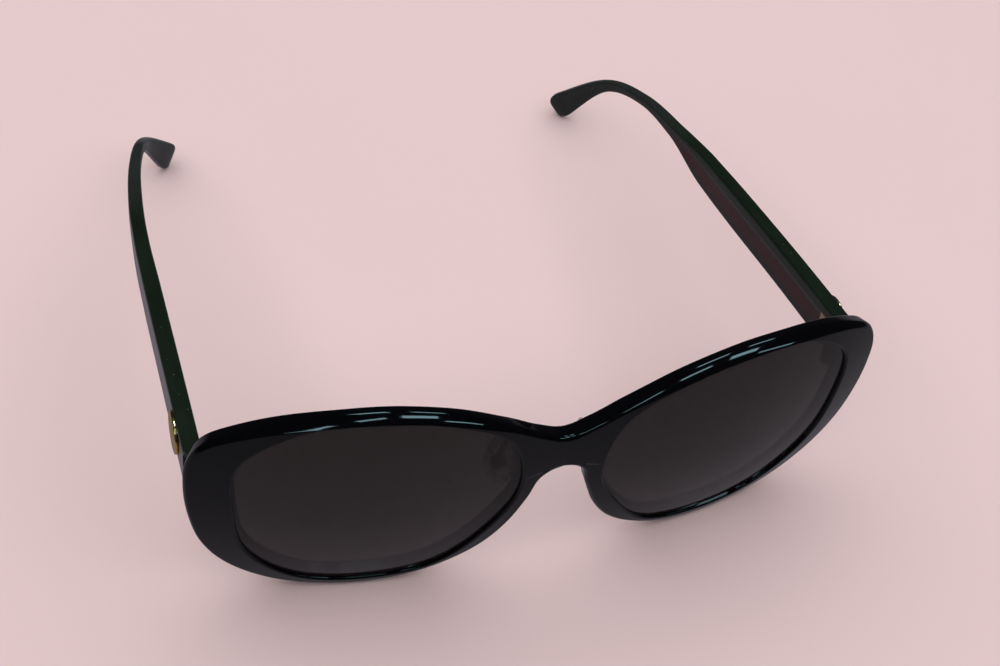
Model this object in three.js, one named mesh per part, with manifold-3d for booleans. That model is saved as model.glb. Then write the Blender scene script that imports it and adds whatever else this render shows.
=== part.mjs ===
// Cat-eye sunglasses lying open on a table: an acetate front, two domed tinted lenses, laminated temples
// with wire cores on screwed three-barrel hinges, and silicone nose pads on wire arms. Millimetres, +Z up.
// The front faces -Y and the wearer's left is +X. Every side piece is built at +X and mirrored for -X.
import * as THREE from "three";
import { mergeGeometries, mergeVertices } from "three/addons/utils/BufferGeometryUtils.js";
import Module from "manifold-3d";

const wasm = await Module();
wasm.setup();

// ---- Driving dimensions. Until the last group moves it, the origin is midway between the lens centres. ----

const CLEARANCE = 0.3; // between pieces that touch

// The front: a sheet bent to a ball for each lens and swept back towards the endpieces
const LENS_CENTRE_X = 37;
const BASE_CURVE_RADIUS = 107;
const FACE_FORM = 0.135; // sideways slope of the sheet at a lens centre
const BRIDGE_HALF = 11; // the two balls are joined by a level curve inside this
const FRONT_DEPTH = 4;
const LIP_CHAMFER = 0.3;
const BACK_CHAMFER = 0.5;
const SIDE_BEVEL = 0.8;
const RIM_BEVEL = 1.7; // over and under the lenses, where the bevel takes the whole rim
const BEVEL_STEEPNESS = 1.15; // depth of the bevel for its width
const TABLE_Z = -28.8;
// Outline of the wearer's left half, from the top of the bridge round the endpiece to the nose arch
const OUTLINE = [
  [0, 12.6], [5.2, 14.6], [12.2, 19], [22.6, 23.9], [35, 26.5], [46, 26.2], [56, 24.4], [64.2, 21],
  [69, 17.6], [71.6, 12.6], [72.2, 6], [71.4, -3], [69, -12], [63.8, -20], [55, -26.4], [43, -29.2],
  [32, -28.9], [22.6, -25.9], [14.4, -19.8], [9.2, -12], [6, -3.8], [4, 2.1], [0, 4],
];
// Opening for a lens, counter-clockwise from its temple side
const APERTURE = [
  [63.4, 0], [62.2, 14.2], [50.4, 23.2], [37, 24.5], [24.2, 22.2], [11.9, 14.5],
  [8.8, 0], [14.6, -12.9], [23.7, -23], [37, -25.7], [50.5, -23.4], [60.4, -13.5],
];

// Lenses, held in a groove all round
const LENS_RECESS = 1.15; // from the front of the rim to the front of the lens
const LENS_THICKNESS = 1.8;
const LENS_OVERHANG = 0.5; // past the edge of the opening
const GROOVE_DEPTH = LENS_OVERHANG + CLEARANCE;
const GROOVE_FRONT = LENS_RECESS - CLEARANCE;
const GROOVE_BACK = LENS_RECESS + LENS_THICKNESS + CLEARANCE;

// Temples: centreline from the hinge to the tip, with the height and thickness of the bar at each point
const TEMPLE_LINE = [
  [69.2, 12.2, 6.4, 9.6, 3.6], [68.1, 40, 2.5, 9.2, 3.6], [67.1, 64, -1.4, 8.9, 3.5],
  [66.3, 80, -3.8, 8, 3.2], [64.9, 94, -4.6, 3.4, 3.1], [62.4, 108, -6.5, 2.2, 2.7],
  [58.4, 120.5, -12.2, 2.8, 2.4], [50.3, 130.6, -27.4, 7.2, 2.4],
];
const TEMPLE_STEPS = 32;
const TEMPLE_CORNER = 0.6;
const WIRE_THICKNESS = 1;
const WIRE_HEIGHT = 1.2;
const WIRE_START = 0.086; // fraction of the centreline
const WIRE_END = 0.55;
const CHANNEL_START = 0.06; // inside the pocket for the hinge leaf

// Hinges: an upright screw through one barrel of the temple leaf between two of the front leaf
const HINGE_SHEET_X = 68; // where the front leaf meets the front, measured on the bent sheet
const HINGE_MIDDLE_Z = 6.1;
const HINGE_STAND_OFF = 2.7; // of the screw's axis behind the front
const BARREL_RADIUS = 1.6;
const BARREL_HEIGHT = 2.3;
const SCREW_RADIUS = 0.6;
const BORE_RADIUS = 0.85;
const SCREW_HEAD_RADIUS = 1.25;
const SCREW_HEAD_HEIGHT = 0.6;
const LEAF_THICKNESS = 1;

const FRONT_LEAF_HEIGHT = 8.6;
const FRONT_LEAF_FROM = -1.1; // across the back of the front, outwards from the axis
const FRONT_LEAF_TO = 1.4;
const TEMPLE_LEAF_START = 15.4; // in Y
const TEMPLE_LEAF_LENGTH = 8.6;
const TEMPLE_LEAF_HEIGHT = 5;
const WEB_WIDTH = 2; // of the tongue between a leaf and its barrel

// Roundels on the outer faces of the temples
const ROUNDEL_AT = 0.064; // fraction of the centreline
const ROUNDEL_PROFILE = [
  [0.6, 0], [4.3, 0], [4.3, 0.2], [4.1, 0.35], [3.4, 0.35],
  [3.2, 0.2], [2.6, 0.2], [1.9, 0.42], [0.9, 0.52], [0, 0.55],
];
const ROUNDEL_PIN_RADIUS = 0.6;
const ROUNDEL_PIN_LENGTH = 1;

// Nose pads: silicone over a metal disc, screwed to the eye of a wire arm. Across a pad, distances are
// from the middle of its thickness and away from the nose.
const PAD_CENTRE = [8.6, 10.2, -3.4];
const PAD_SPLAY = 28; // degrees that the rear edge turns outwards
const PAD_FLARE = 14; // degrees that the lower end turns outwards
const PAD_HALF_THICKNESS = 1.25;
const PAD_HALF_WIDTH = 3.8;
const PAD_HALF_HEIGHT = 6.6;
const PAD_BACK = 0.7;
const INSERT_RADIUS = 1.7;
const INSERT_FROM = 0.1;
const INSERT_TO = 0.9;
const EYE_RADIUS = 1.5;
const EYE_FROM = INSERT_TO + CLEARANCE;
const EYE_TO = EYE_FROM + 0.7;
const PAD_SCREW_RADIUS = 0.45;
const PAD_SCREW_HEAD_RADIUS = 1;
const PAD_SCREW_HEAD_HEIGHT = 0.5;
const ARM_RADIUS = 0.55;
const ARM_ROOT = [6.4, 6.6]; // on the bent sheet
const ARM_ROOT_DEPTH = 1.6;
const ARM_BENDS = [[6.7, 6.6, 6.2], [8.5, 9.2, 4.2]];

// ---- Solids: three.js geometry to and from manifold-3d ----

function bareGeometry(geometry) {
  const loose = geometry.index ? geometry.toNonIndexed() : geometry;
  const bare = new THREE.BufferGeometry();
  bare.setAttribute("position", loose.getAttribute("position"));
  return mergeVertices(bare, 1e-4);
}

function solidOf(geometry) {
  const merged = bareGeometry(geometry);
  return new wasm.Manifold(
    new wasm.Mesh({
      numProp: 3,
      vertProperties: merged.attributes.position.array,
      triVerts: new Uint32Array(merged.index.array),
    }),
  );
}

function geometryOf(solid) {
  const mesh = solid.getMesh();
  const geometry = new THREE.BufferGeometry();
  geometry.setAttribute("position", new THREE.BufferAttribute(mesh.vertProperties, 3));
  geometry.setIndex(new THREE.BufferAttribute(mesh.triVerts, 1));
  return geometry;
}

function cut(geometry, ...tools) {
  let solid = solidOf(geometry);
  for (const tool of tools) {
    solid = solid.subtract(solidOf(tool));
  }
  return geometryOf(solid);
}

function join(...geometries) {
  let solid = solidOf(geometries[0]);
  for (const geometry of geometries.slice(1)) {
    solid = solid.add(solidOf(geometry));
  }
  return geometryOf(solid);
}

function box(width, depth, height, x, y, z) {
  return new THREE.BoxGeometry(width, depth, height).translate(x, y, z);
}

// An upright cylinder on the axis through x, y
function upright(radius, bottom, top, x, y, sides = 20) {
  const height = top - bottom;
  return new THREE.CylinderGeometry(radius, radius, height, sides)
    .rotateX(Math.PI / 2)
    .translate(x, y, bottom + height / 2);
}

// A skin over rings of points that all have the same count. Closed rings make a tube with flat caps.
function loft(rings) {
  const count = rings[0].length;
  const vertices = rings.flat();
  const triangles = [];
  for (let r = 0; r + 1 < rings.length; r += 1) {
    for (let i = 0; i < count; i += 1) {
      const a = r * count + i;
      const b = r * count + ((i + 1) % count);
      triangles.push([a, b, b + count], [a, b + count, a + count]);
    }
  }
  const last = (rings.length - 1) * count;
  for (let i = 1; i + 1 < count; i += 1) {
    triangles.push([0, i + 1, i], [last, last + i, last + i + 1]);
  }
  return skin(vertices, triangles);
}

function skin(vertices, triangles) {
  const corners = triangles.flat().map((index) => vertices[index]);
  return new THREE.BufferGeometry().setFromPoints(corners);
}

// ---- The bent sheet that the front and the lenses are cut from ----

function sheet(x, z) {
  const across = Math.max(x, BRIDGE_HALF) - LENS_CENTRE_X;
  let y = FACE_FORM * across + (across * across + z * z) / (2 * BASE_CURVE_RADIUS);
  let slope = FACE_FORM + across / BASE_CURVE_RADIUS;
  if (x < BRIDGE_HALF) {
    y -= (slope * (BRIDGE_HALF * BRIDGE_HALF - x * x)) / (2 * BRIDGE_HALF);
    slope *= x / BRIDGE_HALF;
  }
  const inwards = new THREE.Vector3(-slope, 1, -z / BASE_CURVE_RADIUS).normalize();
  return { surface: new THREE.Vector3(x, y, z), inwards };
}

function onSheet(x, z, depth) {
  const { surface, inwards } = sheet(x, z);
  return surface.addScaledVector(inwards, depth);
}

// ---- Outlines as seen from a lens centre ----

function smoothLoop(points) {
  return new THREE.CatmullRomCurve3(
    points.map(([x, z]) => new THREE.Vector3(x, 0, z)),
    true,
    "centripetal",
  );
}

// The point and the outward normal of the lens opening at each of a list of angles round the lens centre
function raysToAperture(angles) {
  const SAMPLES = 600;
  const samples = [];
  for (let i = 0; i <= SAMPLES; i += 1) {
    const { x, z } = apertureCurve.getPoint(i / SAMPLES);
    samples.push({ x, z, angle: Math.atan2(z, x - LENS_CENTRE_X) });
  }
  return angles.map((angle) => {
    const index = samples.findIndex(
      (sample, i) =>
        i < SAMPLES && turn(sample.angle - angle) <= 0 && turn(samples[i + 1].angle - angle) > 0,
    );
    const from = samples[index];
    const to = samples[index + 1];
    const before = turn(from.angle - angle);
    const share = before / (before - turn(to.angle - angle));
    return {
      x: from.x + share * (to.x - from.x),
      z: from.z + share * (to.z - from.z),
      normal: new THREE.Vector2(to.z - from.z, from.x - to.x).normalize(),
    };
  });
}

// The point and the outward normal of the outline at a share of the way round it, from the bridge top. Both
// ends of the wearer's left half are on the plane of symmetry.
function outlinePoint(share) {
  const { x, z } = outlineCurve.getPointAt(share);
  const along = outlineCurve.getTangentAt(share);
  if (share === 0 || share === 0.5) {
    return { x: 0, z, normal: new THREE.Vector2(0, Math.sign(along.x)) };
  }
  return { x, z, normal: new THREE.Vector2(-along.z, along.x).normalize() };
}

function turn(angle) {
  return Math.atan2(Math.sin(angle), Math.cos(angle));
}

const apertureCurve = smoothLoop(APERTURE);
const mirroredOutline = OUTLINE.slice(1, -1).reverse().map(([x, z]) => [-x, z]);
const outlineCurve = smoothLoop([...OUTLINE, ...mirroredOutline]);
outlineCurve.arcLengthDivisions = 2000;

// ---- The front ----

// Bevel width round the outline: widest straight over and straight under the lens
function bevelAt(angle) {
  const TOP = Math.PI / 2;
  const BOTTOM = -Math.PI / 2;
  const REACH = 1.15;
  const nearness = (middle) => 1 - Math.min(1, Math.abs(turn(angle - middle)) / REACH);
  const share = THREE.MathUtils.smoothstep(Math.max(nearness(TOP), nearness(BOTTOM)), 0, 0.6);
  return SIDE_BEVEL + (RIM_BEVEL - SIDE_BEVEL) * share;
}

// Half of the front is a ring of sections, each from the lens opening to the outline and back. Across the
// bridge the sections end on the plane of symmetry and have no outer wall there.
function frontHalf() {
  const OUTER_STEPS = 78;
  const BRIDGE_STEPS = 3;
  const topZ = OUTLINE[0][1];
  const bottomZ = OUTLINE[OUTLINE.length - 1][1];
  const outer = [];
  for (let i = 0; i <= OUTER_STEPS; i += 1) {
    outer.push(outlinePoint(0.5 * (1 - i / OUTER_STEPS)));
  }
  const angles = outer.map(({ x, z }) => Math.atan2(z, x - LENS_CENTRE_X));
  for (let i = 1; i < BRIDGE_STEPS; i += 1) {
    const z = THREE.MathUtils.lerp(topZ, bottomZ, i / BRIDGE_STEPS);
    angles.push(Math.atan2(z, -LENS_CENTRE_X));
  }
  const inner = raysToAperture(angles);

  const fromOpening = (i, offset) => [
    inner[i].x + inner[i].normal.x * offset,
    inner[i].z + inner[i].normal.y * offset,
  ];
  const fromOutline = (i, inset) => {
    if (i <= OUTER_STEPS) {
      return [outer[i].x - outer[i].normal.x * inset, outer[i].z - outer[i].normal.y * inset];
    }
    const share = (i - OUTER_STEPS) / BRIDGE_STEPS;
    return [0, THREE.MathUtils.lerp(topZ - inset, bottomZ + inset, share)];
  };
  const between = (a, b, share) => [a[0] + (b[0] - a[0]) * share, a[1] + (b[1] - a[1]) * share];

  const sections = angles.map((angle, i) => {
    const bevel = i > OUTER_STEPS ? SIDE_BEVEL : bevelAt(angle);
    const lip = fromOpening(i, LIP_CHAMFER);
    const crease = fromOutline(i, bevel);
    const backEdge = fromOutline(i, BACK_CHAMFER);
    return [
      [fromOpening(i, 0), LIP_CHAMFER],
      [lip, 0],
      [between(lip, crease, 0.5), 0],
      [crease, 0],
      [fromOutline(i, 0), bevel * BEVEL_STEEPNESS],
      [fromOutline(i, 0), FRONT_DEPTH - BACK_CHAMFER],
      [backEdge, FRONT_DEPTH],
      [between(backEdge, lip, 0.5), FRONT_DEPTH],
      [lip, FRONT_DEPTH],
      [fromOpening(i, 0), FRONT_DEPTH - LIP_CHAMFER],
      [fromOpening(i, 0), GROOVE_BACK],
      [fromOpening(i, GROOVE_DEPTH), GROOVE_BACK],
      [fromOpening(i, GROOVE_DEPTH), GROOVE_FRONT],
      [fromOpening(i, 0), GROOVE_FRONT],
    ].map(([[x, z], depth]) => onSheet(x, z, depth));
  });
  const WALL_FROM = 3;
  const WALL_TO = 6;
  const size = sections[0].length;
  const vertices = sections.flat();
  const triangles = [];
  sections.forEach((section, i) => {
    const next = (i + 1) % sections.length;
    for (let j = 0; j < size; j += 1) {
      if (i >= OUTER_STEPS && j >= WALL_FROM && j < WALL_TO) {
        continue;
      }
      const a = i * size + j;
      const b = next * size + j;
      const c = next * size + ((j + 1) % size);
      const d = i * size + ((j + 1) % size);
      triangles.push([a, c, b], [a, d, c]);
    }
  });
  return { vertices, triangles };
}

function frontSolid() {
  const half = frontHalf();
  const mirrored = half.vertices.map((v) => new THREE.Vector3(-v.x, v.y, v.z));
  const flipped = half.triangles.map(([a, b, c]) => [a, c, b]);
  return mergeGeometries([skin(half.vertices, half.triangles), skin(mirrored, flipped)]);
}

// ---- Lenses ----

function lens() {
  const SIDES = 54;
  const RINGS = [0.45, 0.75, 0.93, 1];
  const angles = Array.from({ length: SIDES }, (_, i) => (i / SIDES) * 2 * Math.PI - Math.PI);
  const edge = raysToAperture(angles).map(({ x, z, normal }) => [
    x + normal.x * LENS_OVERHANG,
    z + normal.y * LENS_OVERHANG,
  ]);
  const ring = (share, depth) =>
    edge.map(([x, z]) => onSheet(LENS_CENTRE_X + (x - LENS_CENTRE_X) * share, z * share, depth));
  const front = LENS_RECESS;
  const back = LENS_RECESS + LENS_THICKNESS;
  const rings = [
    ...RINGS.map((share) => ring(share, front)),
    ...RINGS.toReversed().map((share) => ring(share, back)),
  ];
  const vertices = [...rings.flat(), onSheet(LENS_CENTRE_X, 0, front), onSheet(LENS_CENTRE_X, 0, back)];
  const frontCentre = vertices.length - 2;
  const backCentre = vertices.length - 1;
  const last = (rings.length - 1) * SIDES;
  const triangles = [];
  for (let i = 0; i < SIDES; i += 1) {
    const next = (i + 1) % SIDES;
    triangles.push([frontCentre, i, next], [backCentre, last + next, last + i]);
    for (let r = 0; r + 1 < rings.length; r += 1) {
      const a = r * SIDES + i;
      const b = r * SIDES + next;
      triangles.push([a, a + SIDES, b + SIDES], [a, b + SIDES, b]);
    }
  }
  return skin(vertices, triangles);
}

// ---- Temples ----

const templeCurve = new THREE.CatmullRomCurve3(
  TEMPLE_LINE.map(([x, y, z]) => new THREE.Vector3(x, y, z)),
  false,
  "centripetal",
);
const templeSizes = new THREE.CatmullRomCurve3(
  TEMPLE_LINE.map(([, , , height, thickness], i) => new THREE.Vector3(i, height, thickness)),
);

// Place, axes and size of the temple bar at a fraction of its centreline
function templeAt(share) {
  const centre = templeCurve.getPoint(share);
  const along = templeCurve.getTangent(share);
  const outwards = new THREE.Vector3(along.y, -along.x, 0).normalize();
  const up = new THREE.Vector3().crossVectors(outwards, along);
  const { y: height, z: thickness } = templeSizes.getPoint(share);
  return { centre, along, outwards, up, height, thickness };
}

function templeSection(at, halfThickness, halfHeight, corner) {
  const t = halfThickness;
  const h = halfHeight;
  const offsets = [
    [t - corner, -h], [-t + corner, -h], [-t, -h + corner], [-t, h - corner],
    [-t + corner, h], [t - corner, h], [t, h - corner], [t, -h + corner],
  ];
  return offsets.map(([outwards, up]) =>
    at.centre.clone().addScaledVector(at.outwards, outwards).addScaledVector(at.up, up),
  );
}

function templeBar() {
  const ROUNDING = [[0.985, 1], [0.996, 0.88], [1, 0.62]]; // of the tip: fraction of the line, scale
  const steps = Array.from({ length: TEMPLE_STEPS }, (_, i) => [(i / TEMPLE_STEPS) * 0.985, 1]);
  const rings = [...steps, ...ROUNDING].map(([share, scale]) => {
    const at = templeAt(share);
    return templeSection(at, (at.thickness / 2) * scale, (at.height / 2) * scale, TEMPLE_CORNER);
  });
  return loft(rings);
}

// The wire's shape, grown by a margin to make its channel
function wireBar(from, to, margin) {
  const STEPS = 14;
  const CORNER = 0.1;
  const rings = [];
  for (let i = 0; i <= STEPS; i += 1) {
    const at = templeAt(THREE.MathUtils.lerp(from, to, i / STEPS));
    const halfThickness = WIRE_THICKNESS / 2 + margin;
    rings.push(templeSection(at, halfThickness, WIRE_HEIGHT / 2 + margin, CORNER));
  }
  return loft(rings);
}

// Turns a shape whose Z is up and X outwards so that it lies on the bar at a fraction of its length
function onTemple(geometry, share, outwards) {
  const at = templeAt(share);
  const matrix = new THREE.Matrix4().makeBasis(at.outwards, at.along, at.up);
  matrix.setPosition(at.centre.clone().addScaledVector(at.outwards, outwards));
  return geometry.applyMatrix4(matrix);
}

function temple() {
  const at = templeAt(ROUNDEL_AT);
  const pinHole = new THREE.CylinderGeometry(
    ROUNDEL_PIN_RADIUS + CLEARANCE,
    ROUNDEL_PIN_RADIUS + CLEARANCE,
    2 * (ROUNDEL_PIN_LENGTH + CLEARANCE),
    16,
  ).rotateZ(-Math.PI / 2);
  return cut(
    templeBar(),
    mitre(),
    tableCut(),
    templeLeafPlate(CLEARANCE),
    templeLeafWeb(CLEARANCE),
    wireBar(CHANNEL_START, WIRE_END + 0.003, CLEARANCE),
    onTemple(pinHole, ROUNDEL_AT, at.thickness / 2),
  );
}

// Everything below the table
function tableCut() {
  const SIZE = 400;
  return box(SIZE, SIZE, SIZE, 0, 0, TABLE_Z - SIZE / 2);
}

function roundel() {
  const profile = [
    [0, -ROUNDEL_PIN_LENGTH],
    [ROUNDEL_PIN_RADIUS, -ROUNDEL_PIN_LENGTH],
    ...ROUNDEL_PROFILE.map(([radius, height]) => [radius, height + CLEARANCE]),
  ].map(([radius, height]) => new THREE.Vector2(radius, height));
  const geometry = new THREE.LatheGeometry(profile, 24).rotateZ(-Math.PI / 2);
  return onTemple(geometry, ROUNDEL_AT, templeAt(ROUNDEL_AT).thickness / 2);
}

// ---- Hinges ----

// Frame of the back of the front at the hinge: X outwards along it, Y away from it
function hingeMatrix() {
  const base = onSheet(HINGE_SHEET_X, HINGE_MIDDLE_Z, FRONT_DEPTH);
  const away = sheet(HINGE_SHEET_X, HINGE_MIDDLE_Z).inwards.setZ(0).normalize();
  const up = new THREE.Vector3(0, 0, 1);
  const outwards = new THREE.Vector3().crossVectors(away, up);
  const matrix = new THREE.Matrix4().makeBasis(outwards, away, up);
  return matrix.setPosition(base.setZ(HINGE_MIDDLE_Z));
}

const hingeAxis = new THREE.Vector3(0, HINGE_STAND_OFF, 0).applyMatrix4(hingeMatrix());

// The slanted end of the temple, which shuts against the back of the front
function mitre() {
  const SIZE = 40;
  const CURVE_ALLOWANCE = 0.15; // the back of the front isn't quite flat
  return box(SIZE, SIZE, SIZE, 0, CLEARANCE + CURVE_ALLOWANCE - SIZE / 2, 0).applyMatrix4(hingeMatrix());
}

function frontLeafPlate(margin) {
  const width = FRONT_LEAF_TO - FRONT_LEAF_FROM + 2 * margin;
  const thickness = LEAF_THICKNESS + 2 * margin;
  const height = FRONT_LEAF_HEIGHT + 2 * margin;
  const middle = (FRONT_LEAF_FROM + FRONT_LEAF_TO) / 2;
  return box(width, thickness, height, middle, -LEAF_THICKNESS / 2, 0).applyMatrix4(hingeMatrix());
}

function barrel(middleZ) {
  const bottom = middleZ - BARREL_HEIGHT / 2;
  return upright(BARREL_RADIUS, bottom, bottom + BARREL_HEIGHT, hingeAxis.x, hingeAxis.y);
}

function barrelPitch() {
  return BARREL_HEIGHT + CLEARANCE;
}

function hingeBore() {
  const reach = 2 * barrelPitch();
  return upright(BORE_RADIUS, HINGE_MIDDLE_Z - reach, HINGE_MIDDLE_Z + reach, hingeAxis.x, hingeAxis.y, 16);
}

function frontLeaf() {
  const pieces = [frontLeafPlate(0)];
  for (const side of [-1, 1]) {
    const middle = HINGE_MIDDLE_Z + side * barrelPitch();
    const reach = HINGE_STAND_OFF + LEAF_THICKNESS / 2;
    const web = box(WEB_WIDTH, reach, BARREL_HEIGHT, 0, HINGE_STAND_OFF - reach / 2, side * barrelPitch());
    pieces.push(barrel(middle), web.applyMatrix4(hingeMatrix()));
  }
  return cut(join(...pieces), hingeBore());
}

function templeLeafPlate(margin) {
  const middleY = TEMPLE_LEAF_START + TEMPLE_LEAF_LENGTH / 2;
  const share = templeShareAt(middleY);
  const plate = box(
    LEAF_THICKNESS + 2 * margin,
    TEMPLE_LEAF_LENGTH + 2 * margin,
    TEMPLE_LEAF_HEIGHT + 2 * margin,
    LEAF_THICKNESS / 2,
    0,
    0,
  );
  return onTemple(plate, share, -templeAt(share).thickness / 2);
}

// Fraction of the centreline at a distance back, near the hinge, where the line is almost straight
function templeShareAt(y) {
  let share = 0;
  while (templeCurve.getPoint(share).y < y) {
    share += 0.0005;
  }
  return share;
}

// Tongue from the plate of the temple leaf to its barrel
function templeLeafWeb(margin) {
  const innerFace = templeAt(templeShareAt(TEMPLE_LEAF_START));
  const faceX = innerFace.centre.x - innerFace.thickness / 2;
  const right = faceX + LEAF_THICKNESS * 0.6;
  const front = hingeAxis.y - WEB_WIDTH / 2;
  const back = TEMPLE_LEAF_START + WEB_WIDTH;
  return box(
    right - hingeAxis.x + 2 * margin,
    back - front + 2 * margin,
    BARREL_HEIGHT + 2 * margin,
    (hingeAxis.x + right) / 2,
    (front + back) / 2,
    HINGE_MIDDLE_Z,
  );
}

function templeLeaf() {
  return cut(join(templeLeafPlate(0), barrel(HINGE_MIDDLE_Z), templeLeafWeb(0)), hingeBore());
}

function hingeScrew() {
  const top = HINGE_MIDDLE_Z + 1.5 * BARREL_HEIGHT + CLEARANCE;
  const bottom = HINGE_MIDDLE_Z - 1.5 * BARREL_HEIGHT - CLEARANCE;
  const shank = upright(SCREW_RADIUS, bottom, top + 2 * CLEARANCE, hingeAxis.x, hingeAxis.y, 16);
  const headBottom = top + CLEARANCE;
  const headTop = headBottom + SCREW_HEAD_HEIGHT;
  const head = upright(SCREW_HEAD_RADIUS, headBottom, headTop, hingeAxis.x, hingeAxis.y);
  const slot = box(3, 0.4, 0.5, hingeAxis.x, hingeAxis.y, headTop);
  return cut(join(shank, head), slot);
}

// ---- Nose pads ----

function padMatrix() {
  const { degToRad } = THREE.MathUtils;
  const turnOf = new THREE.Euler(0, degToRad(-PAD_FLARE), degToRad(-PAD_SPLAY), "ZYX");
  const matrix = new THREE.Matrix4().makeRotationFromEuler(turnOf);
  return matrix.setPosition(...PAD_CENTRE);
}

// A disc across the pad
function padDisc(radius, from, to, sides = 20) {
  return new THREE.CylinderGeometry(radius, radius, to - from, sides)
    .rotateZ(-Math.PI / 2)
    .translate((from + to) / 2, 0, 0);
}

function nosePad() {
  const pad = new THREE.SphereGeometry(1, 18, 12)
    .rotateX(Math.PI / 2)
    .scale(PAD_HALF_THICKNESS, PAD_HALF_WIDTH, PAD_HALF_HEIGHT);
  const back = box(2, 20, 20, PAD_BACK + 1, 0, 0);
  const seat = padDisc(INSERT_RADIUS + CLEARANCE, INSERT_FROM - CLEARANCE, PAD_BACK + 1);
  return cut(pad, back, seat).applyMatrix4(padMatrix());
}

function padInsert() {
  const disc = padDisc(INSERT_RADIUS, INSERT_FROM, INSERT_TO);
  const bore = padDisc(PAD_SCREW_RADIUS + CLEARANCE, INSERT_FROM + 0.2, INSERT_TO + 1);
  return cut(disc, bore).applyMatrix4(padMatrix());
}

function padScrew() {
  const headFrom = EYE_TO + CLEARANCE;
  const headTo = headFrom + PAD_SCREW_HEAD_HEIGHT;
  const shank = padDisc(PAD_SCREW_RADIUS, INSERT_FROM + 0.2 + CLEARANCE, headFrom + 0.2, 12);
  const head = padDisc(PAD_SCREW_HEAD_RADIUS, headFrom, headTo);
  const slot = box(0.4, 0.4, 3, headTo, 0, 0);
  return cut(join(shank, head), slot).applyMatrix4(padMatrix());
}

function padArm() {
  const middle = (EYE_FROM + EYE_TO) / 2 + 0.2;
  const route = [
    onSheet(...ARM_ROOT, FRONT_DEPTH - ARM_ROOT_DEPTH),
    ...ARM_BENDS.map((point) => new THREE.Vector3(...point)),
    new THREE.Vector3(middle + 0.6, -0.4, 3.6).applyMatrix4(padMatrix()),
    new THREE.Vector3(middle, 0, 1.1).applyMatrix4(padMatrix()),
  ];
  const wire = new THREE.ExtrudeGeometry(circle(ARM_RADIUS, 8), {
    steps: 22,
    extrudePath: new THREE.CatmullRomCurve3(route),
  });
  const eye = padDisc(EYE_RADIUS, EYE_FROM, EYE_TO).applyMatrix4(padMatrix());
  const hole = padDisc(PAD_SCREW_RADIUS + CLEARANCE, EYE_FROM - 1, EYE_TO + 1, 16);
  return cut(join(wire, eye), hole.applyMatrix4(padMatrix()));
}

function circle(radius, sides) {
  const points = Array.from({ length: sides }, (_, i) => {
    const angle = (i / sides) * 2 * Math.PI;
    return new THREE.Vector2(radius * Math.cos(angle), radius * Math.sin(angle));
  });
  return new THREE.Shape(points);
}

// Hole in the front for the root of a pad arm
function armHole() {
  const length = 2 * (ARM_ROOT_DEPTH + CLEARANCE);
  const hole = new THREE.CylinderGeometry(ARM_RADIUS + CLEARANCE, ARM_RADIUS + CLEARANCE, length, 16);
  const { inwards } = sheet(...ARM_ROOT);
  const matrix = new THREE.Matrix4().makeRotationFromQuaternion(
    new THREE.Quaternion().setFromUnitVectors(new THREE.Vector3(0, 1, 0), inwards),
  );
  return hole.applyMatrix4(matrix.setPosition(onSheet(...ARM_ROOT, FRONT_DEPTH)));
}

// ---- Assembly ----

function mirrored(geometry) {
  const flipped = geometry.clone().scale(-1, 1, 1);
  const loose = flipped.index ? flipped.toNonIndexed() : flipped;
  const positions = loose.getAttribute("position");
  const corner = new THREE.Vector3();
  const other = new THREE.Vector3();
  for (let i = 0; i < positions.count; i += 3) {
    corner.fromBufferAttribute(positions, i + 1);
    other.fromBufferAttribute(positions, i + 2);
    positions.setXYZ(i + 1, other.x, other.y, other.z);
    positions.setXYZ(i + 2, corner.x, corner.y, corner.z);
  }
  return loose;
}

function front() {
  const oneSide = [frontLeafPlate(CLEARANCE), armHole()];
  return cut(frontSolid(), ...oneSide, ...oneSide.map(mirrored), tableCut());
}

function material(color, roughness, metalness, extra = {}) {
  return new THREE.MeshStandardMaterial({ color, roughness, metalness, ...extra });
}

const BLACK_ACETATE = () => material(0x0a0a0d, 0.08, 0);
const BRONZE = () => material(0xb8865a, 0.3, 1);
const STEEL = () => material(0xb9b4aa, 0.3, 1);

const SIDE_PIECES = [
  ["lens", lens(), () => material(0x3b3230, 0.03, 0, { transparent: true, opacity: 0.85 })],
  ["temple", temple(), () => material(0x12231a, 0.12, 0)],
  ["core_wire", wireBar(WIRE_START, WIRE_END, 0), STEEL],
  ["hinge_front_leaf", frontLeaf(), BRONZE],
  ["hinge_temple_leaf", templeLeaf(), BRONZE],
  ["hinge_screw", hingeScrew(), BRONZE],
  ["roundel", roundel(), () => material(0xd9a441, 0.22, 1)],
  ["pad_arm", padArm(), STEEL],
  ["pad_screw", padScrew(), STEEL],
  ["pad_insert", padInsert(), STEEL],
  ["nose_pad", nosePad(), () => material(0xe4dcd6, 0.35, 0, { transparent: true, opacity: 0.5 })],
];

const glasses = new THREE.Group();
const frontMesh = new THREE.Mesh(front(), BLACK_ACETATE());
frontMesh.name = "front_frame";
glasses.add(frontMesh);
for (const [side, sign] of [["left", 1], ["right", -1]]) {
  const group = new THREE.Group();
  group.scale.x = sign;
  for (const [name, geometry, finish] of SIDE_PIECES) {
    const mesh = new THREE.Mesh(geometry, finish());
    mesh.name = `${side}_${name}`;
    group.add(mesh);
  }
  glasses.add(group);
}

// The table is at Z = 0, and the box of the whole pair is centred on the origin.
const extent = new THREE.Box3().setFromObject(glasses);
glasses.position.set(0, -(extent.min.y + extent.max.y) / 2, -TABLE_Z);

const part = new THREE.Group();
part.add(glasses);
export default part;
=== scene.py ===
"""Cat-eye sunglasses lying open on a pale table.

Shapes are worked out in millimetres about a datum midway between the lens centres, with X towards the
wearer's left, Y back along the temples and Z up, and put in the frame, in metres, as they are made.
"""

import math

import bmesh
import bpy
import numpy as np
from mathutils import Matrix, Vector


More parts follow.
